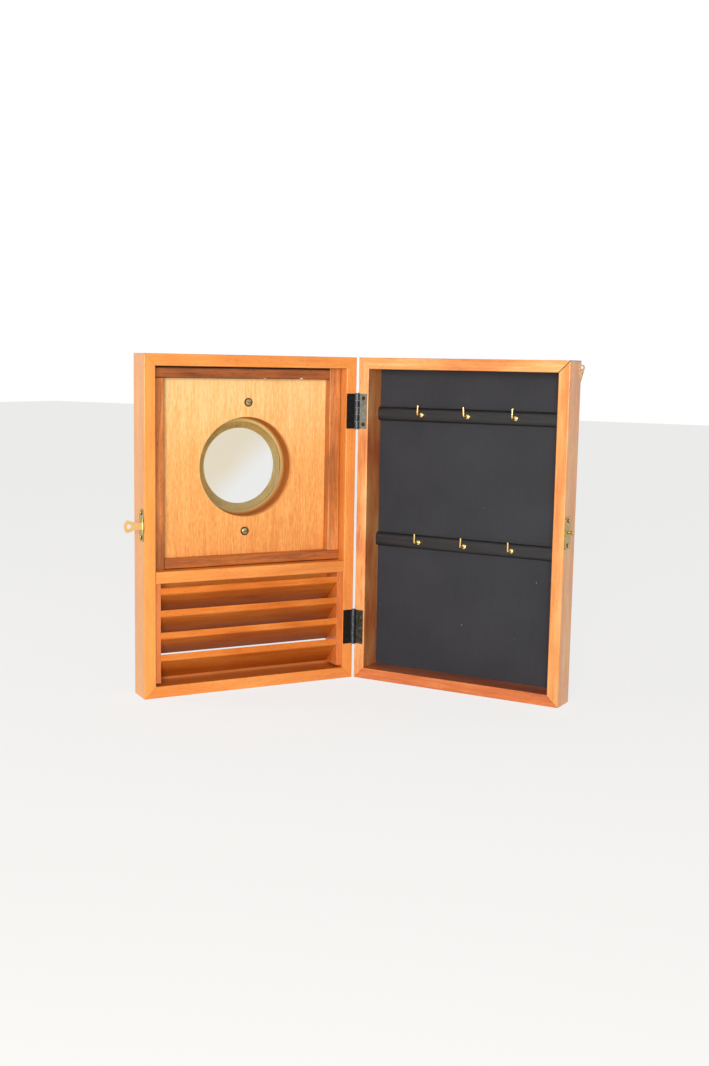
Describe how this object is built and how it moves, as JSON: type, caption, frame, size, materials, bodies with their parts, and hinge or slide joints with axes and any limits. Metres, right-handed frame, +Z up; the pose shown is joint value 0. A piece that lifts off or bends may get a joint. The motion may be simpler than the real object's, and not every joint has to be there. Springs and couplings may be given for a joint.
{
  "type": "wall key cabinet",
  "caption": "Shallow varnished wooden wall cabinet for keys with rails of brass hooks and a side-hung door with a brass porthole above a louvre, closed by a hasp on a peg.",
  "frame": {"origin": "centre of the cabinet's underside, where it stands on a surface", "axes": "+X across the cabinet towards the catch side, +Y towards the wall, +Z up"},
  "size_m": [0.3426, 0.215, 0.3],
  "materials": {
    "frame_wood": "satin varnish",
    "panel_plywood": "satin varnish",
    "strip_wood": "satin varnish",
    "louvre_wood": "satin varnish",
    "black_board": "matt black",
    "black_rail": "satin black",
    "hook_brass": "polished",
    "aged_brass": "satin",
    "cast_brass": "turned",
    "bronzed_hinge": "dark bronzed",
    "pin_steel": "bright",
    "porthole_glass": "clear"
  },
  "bodies": {
    "cabinet": {"cabinet_top": "frame_wood", "cabinet_bottom": "frame_wood", "cabinet_hinge_side": "frame_wood", "cabinet_catch_side": "frame_wood", "back_panel": "black_board", "back_panel_pins": "pin_steel", "upper_hook_rail": "black_rail", "lower_hook_rail": "black_rail", "key_hook_1": "hook_brass", "key_hook_2": "hook_brass", "key_hook_3": "hook_brass", "key_hook_4": "hook_brass", "key_hook_5": "hook_brass", "key_hook_6": "hook_brass", "upper_hinge_cabinet_leaf": "bronzed_hinge", "lower_hinge_cabinet_leaf": "bronzed_hinge", "upper_hinge_pin": "bronzed_hinge", "lower_hinge_pin": "bronzed_hinge", "cabinet_hinge_screws": "bronzed_hinge", "catch_plate": "aged_brass", "catch_peg": "aged_brass", "catch_plate_screws": "aged_brass", "hinge_side_hanging_plate": "aged_brass", "catch_side_hanging_plate": "aged_brass", "hanging_plate_screws": "aged_brass"},
    "door": {"door_top": "frame_wood", "door_bottom": "frame_wood", "door_hinge_side": "frame_wood", "door_free_side": "frame_wood", "middle_rail": "frame_wood", "porthole_panel": "panel_plywood", "top_panel_strip": "strip_wood", "bottom_panel_strip": "strip_wood", "free_side_panel_strip": "strip_wood", "hinge_side_panel_strip": "strip_wood", "porthole_ring": "cast_brass", "porthole_glass": "porthole_glass", "porthole_screws": "aged_brass", "hasp_plate": "aged_brass", "hasp_plate_screws": "aged_brass", "hasp_pin": "aged_brass", "hinge_side_louvre_stile": "louvre_wood", "free_side_louvre_stile": "louvre_wood", "louvre_slat_1": "louvre_wood", "louvre_slat_2": "louvre_wood", "louvre_slat_3": "louvre_wood", "louvre_slat_4": "louvre_wood", "upper_hinge_door_leaf": "bronzed_hinge", "lower_hinge_door_leaf": "bronzed_hinge", "door_hinge_screws": "bronzed_hinge"},
    "hasp": {"hasp_tab": "aged_brass"}
  },
  "joints": [
    {"name": "door_hinge", "type": "hinge", "parent": "cabinet", "child": "door", "pos_m": [-0.1026, -0.014, 0.15], "axis": [0, 0, -1], "range_deg": [-122.6, 52.4]},
    {"name": "hasp_hinge", "type": "hinge", "parent": "door", "child": "hasp", "pos_m": [-0.21406, -0.18736, 0.153], "axis": [0, 0, 1], "range_deg": [-85, 90]}
  ]
}
